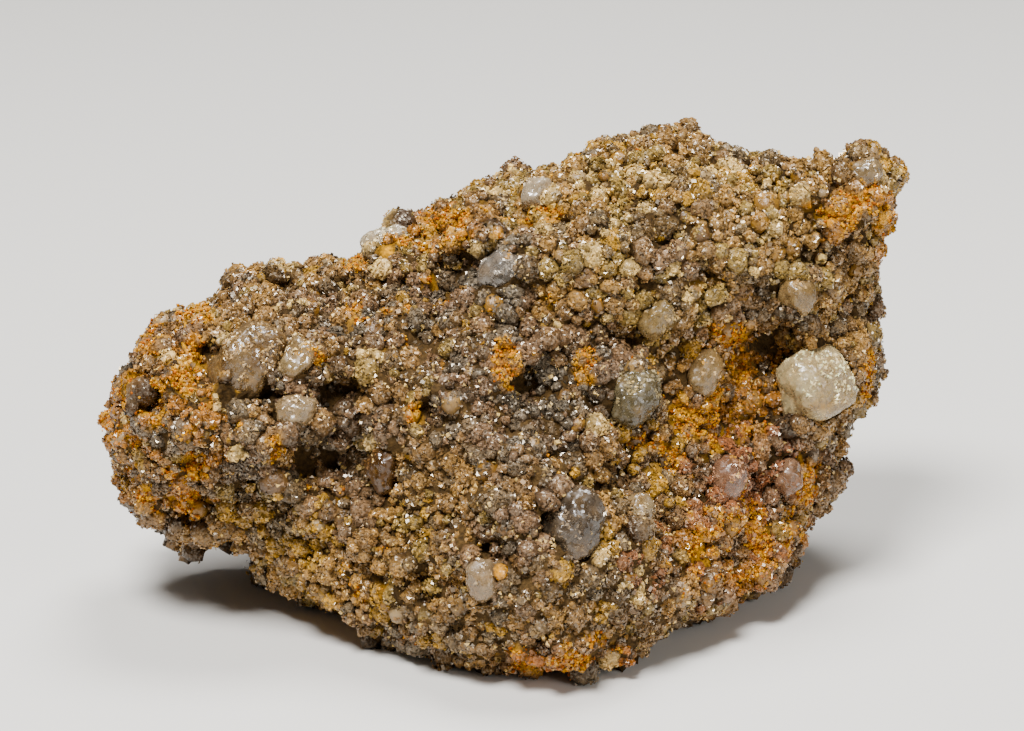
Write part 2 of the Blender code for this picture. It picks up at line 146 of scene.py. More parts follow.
# Where each kind is commoner, by area of the face.
CRUST_ZONES = {
    "olive": zones((700, 235, 190, 95, 0.34), (330, 560, 140, 60, 0.20)),
    "tan": zones((700, 235, 190, 95, 0.30), (330, 560, 140, 60, 0.60)),
    "cream": zones((700, 225, 190, 95, 0.14)),
    "dark": zones(
        (700, 235, 190, 95, 0.05), (470, 460, 190, 150, 0.10), (560, 605, 150, 62, 0.10),
        (240, 470, 24, 16, 0.50), (770, 430, 20, 12, 0.90), (705, 425, 16, 14, 0.60),
    ),
    "mauve": zones((480, 440, 170, 190, 0.30)),
    "slate": zones(
        (480, 420, 150, 130, 0.12), (132, 378, 22, 24, 0.90), (195, 442, 34, 24, 0.70),
        (560, 395, 60, 34, 0.50), (620, 575, 48, 28, 0.50), (500, 290, 44, 30, 0.80),
        (385, 345, 46, 24, 0.60),
    ),
    "ochre": zones(
        (165, 440, 75, 100, 0.50), (722, 388, 62, 62, 0.75), (745, 560, 85, 45, 0.60),
        (848, 222, 52, 40, 0.60), (888, 250, 24, 48, 0.70), (450, 240, 60, 24, 0.50),
    ),
    "rose": zones((745, 482, 72, 48, 0.95), (700, 560, 85, 50, 0.30)),
    "gold": zones(
        (866, 185, 44, 40, 0.22), (330, 560, 150, 70, 0.22), (480, 600, 120, 50, 0.20),
        (640, 190, 130, 80, 0.14), (430, 500, 60, 60, 0.18), (640, 500, 70, 60, 0.20),
    ),
    "rust": zones((560, 655, 64, 22, 0.90)),
    "grey": zones((500, 480, 60, 32, 0.60)),
}

# Earthy orange limonite, mostly in hollows.
LIMONITE_ZONES = zones(
    (192, 296, 17, 11, 0.54), (152, 345, 22, 24, 0.74), (205, 325, 26, 12, 0.84),
    (210, 360, 11, 14, 0.84), (200, 388, 19, 19, 0.84), (150, 405, 41, 26, 0.74),
    (106, 430, 11, 19, 0.84), (212, 470, 19, 17, 0.84), (200, 510, 19, 22, 0.74),
    (157, 500, 12, 11, 0.74), (258, 440, 14, 11, 0.44), (356, 274, 13, 14, 0.84),
    (410, 257, 10, 8, 0.84), (450, 234, 29, 14, 0.84), (432, 262, 19, 12, 0.64),
    (372, 322, 36, 22, 0.59), (322, 366, 19, 12, 0.84), (506, 372, 17, 31, 0.84),
    (420, 421, 11, 13, 0.84), (582, 376, 14, 24, 0.74), (545, 232, 36, 12, 0.54),
    (290, 455, 14, 14, 0.44), (345, 492, 31, 11, 0.44), (372, 590, 26, 14, 0.39),
    (838, 222, 41, 17, 0.64), (886, 240, 14, 31, 0.64), (866, 386, 12, 34, 1.00),
    (690, 430, 31, 22, 0.74), (724, 345, 29, 14, 0.84), (742, 392, 22, 31, 0.54),
    (664, 464, 19, 17, 0.74), (802, 492, 16, 24, 0.84), (755, 548, 14, 16, 0.84),
    (758, 582, 48, 19, 0.54), (560, 655, 46, 19, 0.74), (614, 650, 19, 17, 0.54),
    (600, 560, 17, 10, 0.34), (640, 450, 26, 14, 0.39), (170, 430, 80, 125, 0.34),
    (430, 245, 90, 34, 0.42), (480, 320, 160, 70, 0.19), (720, 405, 66, 66, 0.50),
    (745, 545, 90, 62, 0.42), (850, 215, 55, 45, 0.42), (560, 648, 90, 28, 0.47),
    (290, 545, 110, 60, 0.16), (600, 500, 110, 80, 0.16),
)
BACK_LIMONITE = 0.7

# Where cement fills the gaps between grains.
FILLED_ZONES = zones(
    (560, 605, 150, 62, 0.80), (470, 470, 110, 90, 0.55), (420, 345, 90, 50, 0.50),
    (170, 430, 70, 90, 0.45), (720, 400, 70, 60, 0.45),
)
BACK_FILLED = 0.5

# Dark gaps where no grain sits.
PITS = zones(
    (521, 389, 8, 8), (427, 420, 6, 10), (218, 360, 5, 8), (156, 402, 7, 6), (335, 398, 5, 5),
    (487, 547, 4, 4), (187, 527, 8, 5), (760, 356, 10, 6), (640, 515, 4, 18), (463, 276, 3, 3),
    (318, 466, 3, 5), (272, 402, 11, 3),
)

# Where bare translucent quartz sand is commoner.
QUARTZ_SAND_ZONES = zones(
    (700, 220, 180, 90, 0.22), (700, 310, 60, 40, 0.25), (740, 490, 60, 30, 0.35),
    (300, 370, 60, 60, 0.20), (600, 400, 70, 50, 0.20), (400, 480, 60, 60, 0.12),
)
SAND_COLOURS = np.array(
    [linear(colour) for colour in ("#94681c", "#93703a", "#6c4c22", "#a3865a", "#865c16")]
)


class QuartzLook:
    """A larger quartz grain's slot, body and cloud colours, share of rusty stain, edge sharpness,
    dusting with crust crystals, and growth in mm over its solid's flats."""

    def __init__(self, slot, colour, cloud, stain, sharpness, dust=1.0, growth=0.22):
        self.slot = slot
        self.colour = linear(colour)
        self.cloud = linear(cloud)
        self.stain = stain
        self.sharpness = sharpness
        self.dust = dust
        self.growth = growth


MOST_TRIANGLES = 180000
# Most of a noise texture's values lie between these.
NOISE_SPAN = {"From Min": 0.3, "From Max": 0.7}
CHLORARGYRITE_IOR = 2.07
QUARTZ_IOR = 1.544
# Pocket walls this near a larger quartz grain bear no coarse and no fine grit, and grit this near
# one is raised round it.
POCKET_REACH = 0.7 * MM
POCKET_REACH_FINE = 0.32 * MM
COLLAR_REACH = 1.4 * MM
PIT_DEPTH = 1.6 * MM
# Fine grit fills the hollows between coarse grains, this far down.
FINE_DEPTH = 0.42 * MM
DUST_PER_MM2 = 12
# The farthest that a grain reaches, as a share of its radius.
MOST_REACH = 1.2
# How sharp the edges between a grain's flats are.
LUMP_SHARPNESS = 9
SAND_SHARPNESS = 14
# A grain's three half lengths and its chance flats, as shares of its radius.
GRAIN_LENGTHS = (0.68, 1.22)
CHANCE_FLATS = (0.84, 1.1)
# How far a grain's middle sinks, as a share of its radius.
GRAIN_SUNK = (0.60, 1.25)
# How dark and light single grains and crystals are beside the crust's colours, and how much of
# a grain's colour is its own kind's instead of its surroundings'.
GRAIN_SHADES = (0.8, 1.25)
CRYSTAL_SHADES = (0.35, 1.7)
OWN_COLOUR = 0.64
# The share of crystals painted pale cream as painted glints, and of grains that are bare quartz
# outside its zones.
PAINTED_GLINT_CRYSTALS = 0.055
BARE_EVERYWHERE = 0.03
# How gradually limonite ends.
LIMONITE_EDGE = 0.16
# The thickness of a crumb of limonite.
CRUMB_SIZE = 0.11 * MM
# The two triangles of each side of a cube whose corners run through x, then y, then z.
CUBE_FACES = np.array([
    (0, 1, 3), (0, 3, 2), (4, 6, 7), (4, 7, 5), (0, 4, 5), (0, 5, 1),
    (2, 3, 7), (2, 7, 6), (0, 2, 6), (0, 6, 4), (1, 5, 7), (1, 7, 3),
])

# The larger quartz grains, by the name of the solid that each one replaces.
QUARTZ_LOOKS = {
    "quartz_big_right": QuartzLook("milky_quartz", "#cfab72", "#ffe8ae", 0.50, 26, 0.4),
    "quartz_grey_middle": QuartzLook("smoky_quartz", "#5a4b3b", "#7c6952", 0.15, 40, 0.2, 0.40),
    "quartz_beside_middle": QuartzLook("milky_quartz", "#a08560", "#c4a878", 0.25, 40, 0.4),
    "quartz_oval_right": QuartzLook("smoky_quartz", "#a38049", "#c8a672", 0.20, 40, 0.25),
    "quartz_round_low": QuartzLook("milky_quartz", "#9a7a56", "#ccae84", 0.15, 40, 0.25),
    "quartz_long_left": QuartzLook("smoky_quartz", "#7c5d38", "#a98858", 0.30, 24, 0.6, 0.35),
    "quartz_second_left": QuartzLook("milky_quartz", "#9f7c4b", "#c8a973", 0.20, 24, 0.6),
    "quartz_low_left": QuartzLook("milky_quartz", "#a58559", "#d2b283", 0.25, 24, 0.45),
    "quartz_ridge_white": QuartzLook("milky_quartz", "#d8c096", "#f0deb8", 0.10, 24, 0.8, 0.50),
    "quartz_blue_grey": QuartzLook("smoky_quartz", "#867c70", "#a69b8d", 0.25, 30, 1.3, 0.45),
    "quartz_block_top": QuartzLook("milky_quartz", "#ccb18a", "#e2c9a2", 0.10, 24, 0.5, 0.40),
    "quartz_brown_oval": QuartzLook("smoky_quartz", "#573b1f", "#7b552a", 0.20, 40, 0.6),
    "quartz_centre_grey": QuartzLook("smoky_quartz", "#6f6143", "#93825b", 0.25, 40, 1.0, 0.40),
    "quartz_rose_left": QuartzLook("rose_quartz", "#8c5c40", "#b98864", 0.20, 40, 0.6),
    "quartz_rose_right": QuartzLook("rose_quartz", "#93684a", "#c29670", 0.20, 40, 0.6),
    "quartz_cream_right": QuartzLook("milky_quartz", "#a5824d", "#c09c64", 0.15, 24, 0.8),
    "quartz_clear_brow": QuartzLook("smoky_quartz", "#967642", "#b9995f", 0.20, 24, 1.0),
    "quartz_horn": QuartzLook("milky_quartz", "#a3875c", "#c4a474", 0.15, 40, 1.0),
}

# The stage, in metres: each softbox has its place, its width and its power in watts.
SQUARE = ((-1, -1), (1, -1), (1, 1), (-1, 1))
FLOOR_REACH = 3.0
SOFTBOXES = {
    "key": ((-0.10, -0.22, 0.48), 0.18, 6.1),
    "fill": ((0.36, -0.34, 0.24), 0.24, 1.0),
    "top": ((0.08, 0.14, 0.52), 0.24, 3.6),
}
LIT_PLACE = (0, 0, 0.02)
ROOM_LIGHT = 0.10
NEAREST_SEEN = 0.005
# In millimetres, as the lens is.
SENSOR_WIDTH = 36.0


class GritSettings(PropertyGroup):
    """Sizes and numbers of the grains and crystals."""

    finest: FloatProperty(
        name="Finest grain",
        description="Radius of the finest grains",
        default=0.22 * MM,
        unit="LENGTH",
    )
    middling: FloatProperty(
        name="Middling grain",
        description="Radius from which grains count as coarse",
        default=0.42 * MM,
        unit="LENGTH",
    )
    coarsest: FloatProperty(
        name="Coarsest grain",
        description="Radius of the coarsest grains",
        default=1.15 * MM,
        unit="LENGTH",
    )
    back_growth: FloatProperty(
        name="Back growth", description="How much coarser the back's grains are", default=1.2
    )
    closeness: FloatProperty(
        name="Closeness", description="Share of their radii at which two grains touch", default=0.66
    )
    tries: IntProperty(name="Tries", description="Places tried for a coarse grain", default=30000)
    fine_tries: IntProperty(
        name="Fine tries", description="Places tried for a fine grain", default=40000
    )
    crystals: IntProperty(
        name="Crystals", description="Number of whole crust crystals", default=8000
    )
    corners: IntProperty(
        name="Corners",
        description="Number of crust crystals of which one corner shows",
        default=102000,
    )
    crystal_size: FloatProperty(
        name="Crystal size",
        description="Half size of a crust crystal",
        default=0.105 * MM,
        unit="LENGTH",
    )
    crumbs: IntProperty(name="Crumbs", description="Number of limonite crumbs", default=8000)


class StageSettings(PropertyGroup):
    """The floor, the lights and the camera."""

    floor: FloatVectorProperty(
        name="Floor",
        description="Colour of the floor",
        subtype="COLOR",
        default=tuple(linear("#d8d5cf")),
    )
    lens: FloatProperty(name="Lens", description="Focal length in millimetres", default=120.0)
    brightness: FloatProperty(name="Brightness", description="Light of the softboxes", default=1.0)


def face_places(points):
    """Where points show on the face, in picture pixels."""
    left, top = face_corner()
    across = (points @ RIGHT - left) / PIXEL
    down = (top - points @ UP_FACE) / PIXEL
    return np.column_stack([OUTLINE_LEFT + across, OUTLINE_TOP + down])


@cache
def face_corner():
    """The left end and the top of the specimen's outline, measured along the face."""
    points = merged_node("matrix")[0]
    return (points @ RIGHT).min(), (points @ UP_FACE).max()


def new_object(name, data):
    """A new object in the scene, of this mesh, light or camera."""
    made = bpy.data.objects.new(name, data)
    bpy.context.scene.collection.objects.link(made)
    return made


@cache
def merged_node(name, subdivisions=0):
    """A frame solid with its loose triangles joined and its facets rounded: points, faces."""
    solid = bmesh.new()
    solid.from_mesh(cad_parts[name].data)
    bmesh.ops.remove_doubles(solid, verts=solid.verts, dist=0.002 * MM)
    mesh = bpy.data.meshes.new("rounding")
    solid.to_mesh(mesh)
    solid.free()
    helper = new_object("rounding", mesh)
    if subdivisions:
        rounding = helper.modifiers.new("rounding", "SUBSURF")
        rounding.levels = subdivisions
        rounding.render_levels = subdivisions
    graph = bpy.context.evaluated_depsgraph_get()
    rounded = helper.evaluated_get(graph).to_mesh()
    rounded.calc_loop_triangles()
    points = np.empty(len(rounded.vertices) * 3)
    rounded.vertices.foreach_get("co", points)
    faces = np.empty(len(rounded.loop_triangles) * 3, np.int32)
    rounded.loop_triangles.foreach_get("vertices", faces)
    bpy.data.objects.remove(helper)
    bpy.data.meshes.remove(mesh)
    return points.reshape(-1, 3), faces.reshape(-1, 3)


def unit(vectors):
    """Vectors at length one."""
    return vectors / np.maximum(np.linalg.norm(vectors, axis=-1, keepdims=True), 1e-12)


def triangle_facing(points, faces):
    """The way each triangle faces, as long as twice its area."""
    corners = points[faces]
    return np.cross(corners[:, 1] - corners[:, 0], corners[:, 2] - corners[:, 0])


def point_normals(points, faces):
    """The mean facing of the triangles at each point, weighted by their area."""
    facing = triangle_facing(points, faces)
    normals = np.zeros_like(points)
    for corner in range(3):
        np.add.at(normals, faces[:, corner], facing)
    return unit(normals)


def ahead_share(facing, steepness=3, start=1.0):
    """How far each spot faces out of the broad face, from none behind to all in front."""
    return np.clip(facing @ OUT_OF_FACE * steepness + start, 0, 1)


def wander(points, size, seed):
    """Smooth noise from -1 to 1: random values on a cubic lattice of this size in mm, blended."""
    side = 32
    lattice = np.random.RandomState(seed).uniform(-1, 1, (side, side, side))
    scaled = points / (size * MM)
    cell = np.floor(scaled).astype(int)
    blend = scaled - cell
    blend = blend * blend * (3 - 2 * blend)
    total = np.zeros(len(points))
    for corner in np.ndindex(2, 2, 2):
        share = np.prod(np.where(corner, blend, 1 - blend), axis=1)
        place = (cell + corner) % side
        total += share * lattice[place[:, 0], place[:, 1], place[:, 2]]
    return total


def clump_dip(points):
    """How far the surface sinks between clumps of grains: the low half of two sizes of noise."""
    wide = np.clip(-1.7 * wander(points, 2.4, 51) - 0.1, 0, 1)
    narrow = np.clip(-1.6 * wander(points, 1.3, 52), 0, 1)
    return (1.0 * wide + 0.3 * narrow) * MM


def ball_grid(around, rings):
    """Unit directions of a closed ball: rings of equal latitude steps with a point at each
    pole, and its triangles. The two parameters are longitude and latitude."""
    latitude = np.linspace(-math.pi / 2, math.pi / 2, rings + 2)[1:-1]
    longitude = np.arange(around) * math.tau / around
    turn, rise = np.meshgrid(longitude, latitude)
    turn = turn + (np.arange(rings) % 2)[:, None] * math.pi / around
    ring = [np.cos(rise) * np.cos(turn), np.cos(rise) * np.sin(turn), np.sin(rise)]
    poles = np.array([[0, 0, -1], [0, 0, 1]])
    points = np.vstack([np.stack(ring, axis=-1).reshape(-1, 3), poles])
    here = np.arange(rings * around).reshape(rings, around)
    beside = np.roll(here, -1, axis=1)
    low, high = here[:-1], here[1:]
    low_next, high_next = beside[:-1], beside[1:]
    even = (np.arange(rings - 1) % 2 == 0)[:, None]
    first = np.stack([low, low_next, np.where(even, high, high_next)], -1)
    second = np.stack([np.where(even, low_next, low), high_next, high], -1)
    bottom = np.stack([beside[0], here[0], np.full(around, rings * around)], -1)
    top = np.stack([here[-1], beside[-1], np.full(around, rings * around + 1)], -1)
    faces = np.vstack([first.reshape(-1, 3), second.reshape(-1, 3), bottom, top])
    return points, faces


def random_turns(count, random):
    """Evenly spread rotation matrices, from random quaternions."""
    w, x, y, z = unit(random.normal(size=(count, 4))).T
    rows = [
        [1 - 2 * (y * y + z * z), 2 * (x * y - z * w), 2 * (x * z + y * w)],
        [2 * (x * y + z * w), 1 - 2 * (x * x + z * z), 2 * (y * z - x * w)],
        [2 * (x * z - y * w), 2 * (y * z + x * w), 1 - 2 * (x * x + y * y)],
    ]
    return np.array(rows).transpose(2, 0, 1)


def turned(turns, points):
    """Each row of points under its own rotation matrix."""
    return np.einsum("nck,nvk->nvc", turns, points)


def flat_sided_reach(directions, flats, distances, sharpness):
    """How far a flat-sided lump reaches in each direction: the smooth least, over its flats, of
    the flat's distance divided by the direction's share along it."""
    along = np.einsum("...dk,...fk->...df", directions, flats)
    share = np.maximum(along, 0) / distances[..., None, :]
    return 1 / np.maximum((share**sharpness).sum(axis=-1) ** (1 / sharpness), 1e-6)


@cache
def rounded_matrix():
    """Points, triangles, corner normals and areas of the rounded matrix solid."""
    points, faces = merged_node("matrix", 2)
    areas = np.linalg.norm(triangle_facing(points, faces), axis=1) / 2
    return points, faces, point_normals(points, faces), areas


def scattered(count, random):
    """Points spread over the rounded matrix by area, and its facing there."""
    points, faces, normals, areas = rounded_matrix()
    chosen = np.searchsorted(np.cumsum(areas) / areas.sum(), random.uniform(size=count))
    chosen = np.minimum(chosen, len(faces) - 1)
    first, second = np.sqrt(random.uniform(size=count)), random.uniform(size=count)
    shares = np.column_stack([1 - first, first * (1 - second), first * second])
    corners = faces[chosen]
    spots = np.einsum("nk,nkc->nc", shares, points[corners])
    facing = np.einsum("nk,nkc->nc", shares, normals[corners])
    return spots, unit(facing)


@cache
def quartz_outlines():
    """Even directions on the face, and how far each larger quartz grain reaches along them."""
    turns = np.arange(24) * math.tau / 24
    ways = np.column_stack([np.cos(turns), np.sin(turns)])
    reaches = [(face_places(merged_node(name)[0]) @ ways.T).max(axis=0) for name in QUARTZ_LOOKS]
    return ways, reaches


def toward_quartz(points):
    """The way to the nearest larger quartz grain and its distance, up to the collar's reach."""
    ways = np.zeros_like(points)
    away = np.full(len(points), COLLAR_REACH)
    for name in QUARTZ_LOOKS:
        corners, faces = merged_node(name)
        low, high = corners.min(axis=0) - COLLAR_REACH, corners.max(axis=0) + COLLAR_REACH
        near = np.flatnonzero(((points > low) & (points < high)).all(axis=1))
        tree = BVHTree.FromPolygons(corners.tolist(), faces.tolist())
        hits = [tree.find_nearest(point) for point in points[near].tolist()]
        gaps = np.array([hit[3] for hit in hits])
        closer = gaps < away[near]
        feet = np.array([hit[0] for hit in hits]).reshape(-1, 3)
        away[near[closer]] = gaps[closer]
        ways[near[closer]] = (feet - points[near])[closer]
    return unit(ways), away


def sunk_by(points, facing, beside):
    """How far grains and cement sink under the solid: between clumps and in pits, but less
    beside a larger quartz grain."""
    pits = greatest(PITS, face_places(points)) * ahead_share(facing, start=0)
    return (clump_dip(points) + PIT_DEPTH * pits) * beside


def filled_share(points, facing):
    """How far cement fills the gaps between grains: in its zones, and over the back."""
    ahead = ahead_share(facing)
    return greatest(FILLED_ZONES, face_places(points)) * ahead + BACK_FILLED * (1 - ahead)


def kept_open(places, facing, radii):
    """Which grain places would fill a pit or cover a larger quartz grain."""
    ahead = facing @ OUT_OF_FACE > 0.05
    spread = radii[:, None] / PIXEL
    coarse = radii > bpy.context.scene.grit_settings.middling
    filling = np.zeros(len(places), bool)
    for pit in PITS:
        away = (((places - pit.middle) / (pit.half + 0.7 * spread)) ** 2).sum(axis=1)
        filling |= (away < 1) & ahead & coarse
    ways, reaches = quartz_outlines()
    along = places @ ways.T
    for reach in reaches:
        filling |= (along < reach - 0.15 * spread).all(axis=1) & ahead
    return filling


def search_tree(middles):
    """A tree that finds which of these points are near a place."""
    tree = kdtree.KDTree(len(middles))
    for index, middle in enumerate(middles):
        tree.insert(middle, index)
    tree.balance()
    return tree


@cache
def grain_bed():
    """Where the grit's grains sit: middles, facings and radii, coarsest first, each clear of
    the grains before it."""
    grit = bpy.context.scene.grit_settings
    random = np.random.RandomState(88)
    spots, facing = scattered(grit.tries + grit.fine_tries, random)
    front = np.clip((facing @ OUT_OF_FACE + facing[:, 2] * 0.5) * 2 + 0.9, 0, 1)
    spread = random.uniform(size=len(spots)) ** 1.5
    radii = grit.middling + (grit.coarsest - grit.middling) * spread
    radii = radii * (grit.back_growth + (1 - grit.back_growth) * front)
    fine = np.arange(len(spots)) >= grit.tries
    radii[fine] = random.uniform(grit.finest, grit.middling, len(spots))[fine]
    radii[fine & (facing @ OUT_OF_FACE < -0.2)] = 0
    radii[kept_open(face_places(spots), facing, radii)] = 0
    ways, away = toward_quartz(spots)
    narrow = away < np.where(fine, POCKET_REACH_FINE, POCKET_REACH)
    radii[narrow & ((ways * facing).sum(axis=1) > 0.5)] = 0
    order = np.argsort(-radii, kind="stable")
    order = order[radii[order] > 0]
    spots, facing, radii = spots[order], facing[order], radii[order]
    beside = away[order] / COLLAR_REACH
    filled = filled_share(spots, facing)
    sunk = random.uniform(*GRAIN_SUNK, len(radii)) * (0.35 + 0.65 * beside)
    gap_depth = FINE_DEPTH * (1 - 0.9 * filled) * beside
    deeper = sunk_by(spots, facing, beside) + gap_depth * (radii < grit.middling)
    middles = spots - facing * (radii * sunk + deeper)[:, None]
    tree = search_tree(middles)
    kept = np.zeros(len(middles), bool)
    widest = radii[0]
    for index, middle in enumerate(middles):
        reach = (radii[index] + widest) * grit.closeness
        kept[index] = not any(
            kept[near] and distance < (radii[index] + radii[near]) * grit.closeness
            for _, near, distance in tree.find_range(middle, reach)
        )
    return middles[kept], facing[kept], radii[kept]


def chosen_crusts(spots, facing, random):
    """A crust colour for each grain, by the shares of its zones. The draw is smooth noise put in
    order of size, so that neighbours are often of one kind."""
    kinds = list(CRUSTS)
    shares = np.zeros((len(spots), len(kinds)))
    for kind, share in EVERYWHERE.items():
        shares[:, kinds.index(kind)] += share
    places = face_places(spots)
    ahead = ahead_share(facing)
    for kind, ovals in CRUST_ZONES.items():
        for oval in ovals:
            shares[:, kinds.index(kind)] += 1.6 * oval.weight(places) * ahead
    patchy = wander(spots, 4, 5)
    for kind, lean in PATCHES.items():
        shares[:, kinds.index(kind)] *= np.clip(1 + lean * patchy, 0.1, 4)
    limits = np.cumsum(shares / shares.sum(axis=1, keepdims=True), axis=1)
    draw = wander(spots, 2.0, 6) + 0.5 * wander(spots, 0.9, 7)
    draw = draw + random.uniform(0, 0.5, len(spots))
    draw = np.argsort(np.argsort(draw)) / len(spots)
    drawn = (draw[:, None] > limits).sum(axis=1)
    palette = np.array(list(CRUSTS.values()))
    around = shares / shares.sum(axis=1, keepdims=True) @ palette
    own = palette[np.minimum(drawn, len(kinds) - 1)]
    colours = OWN_COLOUR * own + (1 - OWN_COLOUR) * around
    return colours * random.uniform(*GRAIN_SHADES, (len(spots), 1))


def limonite_share(spots, facing):
    """How much earthy limonite covers each spot, from none to all."""
    ahead = ahead_share(facing, start=0.6)
    share = greatest(LIMONITE_ZONES, face_places(spots))
    behind = np.clip(wander(spots, 7, 13) - 0.1, 0, 1) * BACK_LIMONITE
    share = share * ahead + behind * (1 - ahead)
    patchy = 0.5 + 0.32 * wander(spots, 1.8, 11) + 0.42 * wander(spots, 0.7, 12)
    return np.clip((patchy - 1 + share) / LIMONITE_EDGE, 0, 1)


@cache
def grain_forms():
    """A turn and a set of flats for each grain: six across its own axes and six at random.
    Where cement fills the gaps, the grains are flatter and more ragged."""
    middles, facing, _ = grain_bed()
    random = np.random.RandomState(41)
    count = len(middles)
    turns = random_turns(count, random)
    axes = np.vstack([np.eye(3), -np.eye(3)])
    chance = unit(random.normal(size=(count, 6, 3)))
    flats = np.concatenate([np.repeat(axes[None], count, axis=0), chance], axis=1)
    lengths = random.uniform(*GRAIN_LENGTHS, (count, 3))
    lengths = lengths ** (1 + 1.3 * filled_share(middles, facing))[:, None]
    others = random.uniform(*CHANCE_FLATS, (count, 6))
    distances = np.concatenate([lengths, lengths, others], axis=1)
    return turns, flats, distances


def grain_surface(chosen, directions, sharpness):
    """Points where these grains end in these world directions, one row of them a grain."""
    middles, _, radii = grain_bed()
    turns, flats, distances = grain_forms()
    own = np.einsum("nkc,ndk->ndc", turns[chosen], directions)
    reach = flat_sided_reach(own, flats[chosen], distances[chosen], sharpness)
    reach = np.minimum(reach, MOST_REACH)
    return middles[chosen, None] + directions * (radii[chosen, None] * reach)[..., None]


def grain_points(chosen, ball, sharpness):
    """Points of these grains: a ball's directions under each grain's turn, out to its surface."""
    ways = np.repeat(ball[None], len(chosen), axis=0)
    return grain_surface(chosen, turned(grain_forms()[0][chosen], ways), sharpness)


@cache
def quartz_share():
    """Which grains of the bed are bare translucent quartz instead of crusted."""
    middles, facing, radii = grain_bed()
    chance = np.full(len(middles), BARE_EVERYWHERE)
    places = face_places(middles)
    ahead = facing @ OUT_OF_FACE > 0
    for oval in QUARTZ_SAND_ZONES:
        chance += 0.5 * oval.weight(places) * ahead
    large = np.clip((radii - 0.45 * MM) / (0.2 * MM), 0, 1)
    return np.random.RandomState(17).uniform(size=len(middles)) < chance * large


@cache
def grain_colours():
    """The crust colour of each grain of the bed."""
    middles, facing, _ = grain_bed()
    return chosen_crusts(middles, facing, np.random.RandomState(29))


def height_on_grain(chosen, points):
    """How far out each row's points lie on their grain, in its radii."""
    middles, facing, radii = grain_bed()
    away = (points - middles[chosen, None]) * facing[chosen, None]
    return away.sum(axis=-1) / radii[chosen, None]


def stained_and_shaded(points, chosen, colours):
    """Grain colours at their points: orange where limonite is, with painted shade darkening each
    grain towards a crevice brown low down and painted light lightening its top.
    """
    rise = height_on_grain(chosen, points)
    outward = np.repeat(grain_bed()[1][chosen], points.shape[1], axis=0)
    rust = limonite_share(points.reshape(-1, 3), outward).reshape(rise.shape)
    # Painted shade low on each grain and painted light towards its top stand in for the shading
    # between grains.
    deep = np.clip(0.55 - rise, 0, 1)[..., None]
    rusty = (rust * np.clip(1.1 - rise, 0.15, 1))[..., None]
    pick = np.random.RandomState(3).randint(0, len(LIMONITE), len(chosen))
    orange = ((LIMONITE[pick] + LIMONITE[0]) / 2)[:, None]
    tints = colours[:, None] * (1.08 + 0.1 * rise[..., None])
    tints = tints + (PAINTED_CREVICE_SHADE - tints) * deep
    return tints + (orange - tints) * rusty


@cache
def grain_skin_places():
    """Places on the grains' open sides, for crystals and crumbs: grain, outward way, point."""
    grit = bpy.context.scene.grit_settings
    middles, facing, radii = grain_bed()
    random = np.random.RandomState(57)
    weight = radii**2 * np.clip(facing @ OUT_OF_FACE + 0.9 + 0.6 * facing[:, 2], 0.5, 1.3)
    limits = np.cumsum(weight) / weight.sum()
    count = grit.crystals + grit.corners + grit.crumbs
    tried = int(count * 2.2)
    chosen = np.searchsorted(limits, random.uniform(size=tried))
    chosen = np.minimum(chosen, len(middles) - 1)
    ways = unit(random.normal(size=(tried, 3)) + 1.1 * facing[chosen])
    spots = grain_surface(chosen, ways[:, None], LUMP_SHARPNESS)[:, 0]
    tree = search_tree(middles)
    beside = np.array([[near for _, near, _ in tree.find_n(middle, 12)] for middle in middles])
    others = beside[chosen]
    apart = np.linalg.norm(middles[others] - spots[:, None], axis=-1)
    buried = ((apart < 0.86 * radii[others]) & (others != chosen[:, None])).any(axis=1)
    return chosen[~buried], ways[~buried], spots[~buried]


def quartz_surface(name, ways):
    """A larger quartz grain's surface in these directions: the smooth least of its solid's
    flats, with a little unevenness."""
    look = QUARTZ_LOOKS[name]
    corners, faces = merged_node(name)
    middle = (corners.max(axis=0) + corners.min(axis=0)) / 2
    own = corners - middle
    flats = unit(triangle_facing(own, faces))
    distances = (own[faces[:, 0]] * flats).sum(axis=1) + look.growth * MM
    reach = [
        flat_sided_reach(part[None], flats[None], distances[None], look.sharpness)[0]
        for part in np.array_split(ways, 1 + len(ways) // 2000)
    ]
    points = middle + ways * np.concatenate(reach)[:, None]
    rough = 0.34 * wander(points, 1.5, 31) + 0.14 * wander(points, 0.6, 32)
    return points + ways * (rough * MM)[:, None]


def dusted_places(random):
    """Places in patches on the larger quartz grains where crust crystals sit."""
    ways, spots, bases = [], [], []
    for name, look in QUARTZ_LOOKS.items():
        low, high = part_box(name)
        size = (np.array(high) - np.array(low)) / MM
        count = int(DUST_PER_MM2 * look.dust * (size**2).sum())
        own = unit(random.normal(size=(count, 3)) + 0.7 * OUT_OF_FACE)
        points = quartz_surface(name, own)
        up_right = own @ (UP_FACE + 0.5 * RIGHT)
        patch = wander(points, 1.3, 36) + 0.5 * wander(points, 0.5, 37) + 0.5 * up_right
        kept = patch > 0.15
        ways.append(own[kept])
        spots.append(points[kept])
        bases.append(np.repeat([look.cloud * 0.7], kept.sum(), axis=0))
    return np.vstack(ways), np.vstack(spots), np.vstack(bases)


def put_in_parts(name, points, faces, tints, material, smooth):
    """Joins many small closed forms, of one set of triangles, into pieces of moderate size. The
    tints are one for each form or one for each of its points."""
    tints = np.broadcast_to(tints if tints.ndim == 3 else tints[:, None], points.shape)
    order = np.argsort(points[:, 0, 0], kind="stable")
    parts = math.ceil(len(points) * len(faces) / MOST_TRIANGLES)
    for number, members in enumerate(np.array_split(order, parts), 1):
        own = points[members].reshape(-1, 3)
        starts = np.arange(len(members))[:, None, None] * points.shape[1]
        joined = (faces[None] + starts).reshape(-1, 3)
        own_tints = tints[members].reshape(-1, 3)
        piece = put_piece(f"{name}_{number}", own, joined, own_tints, material, smooth)
        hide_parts("matrix")


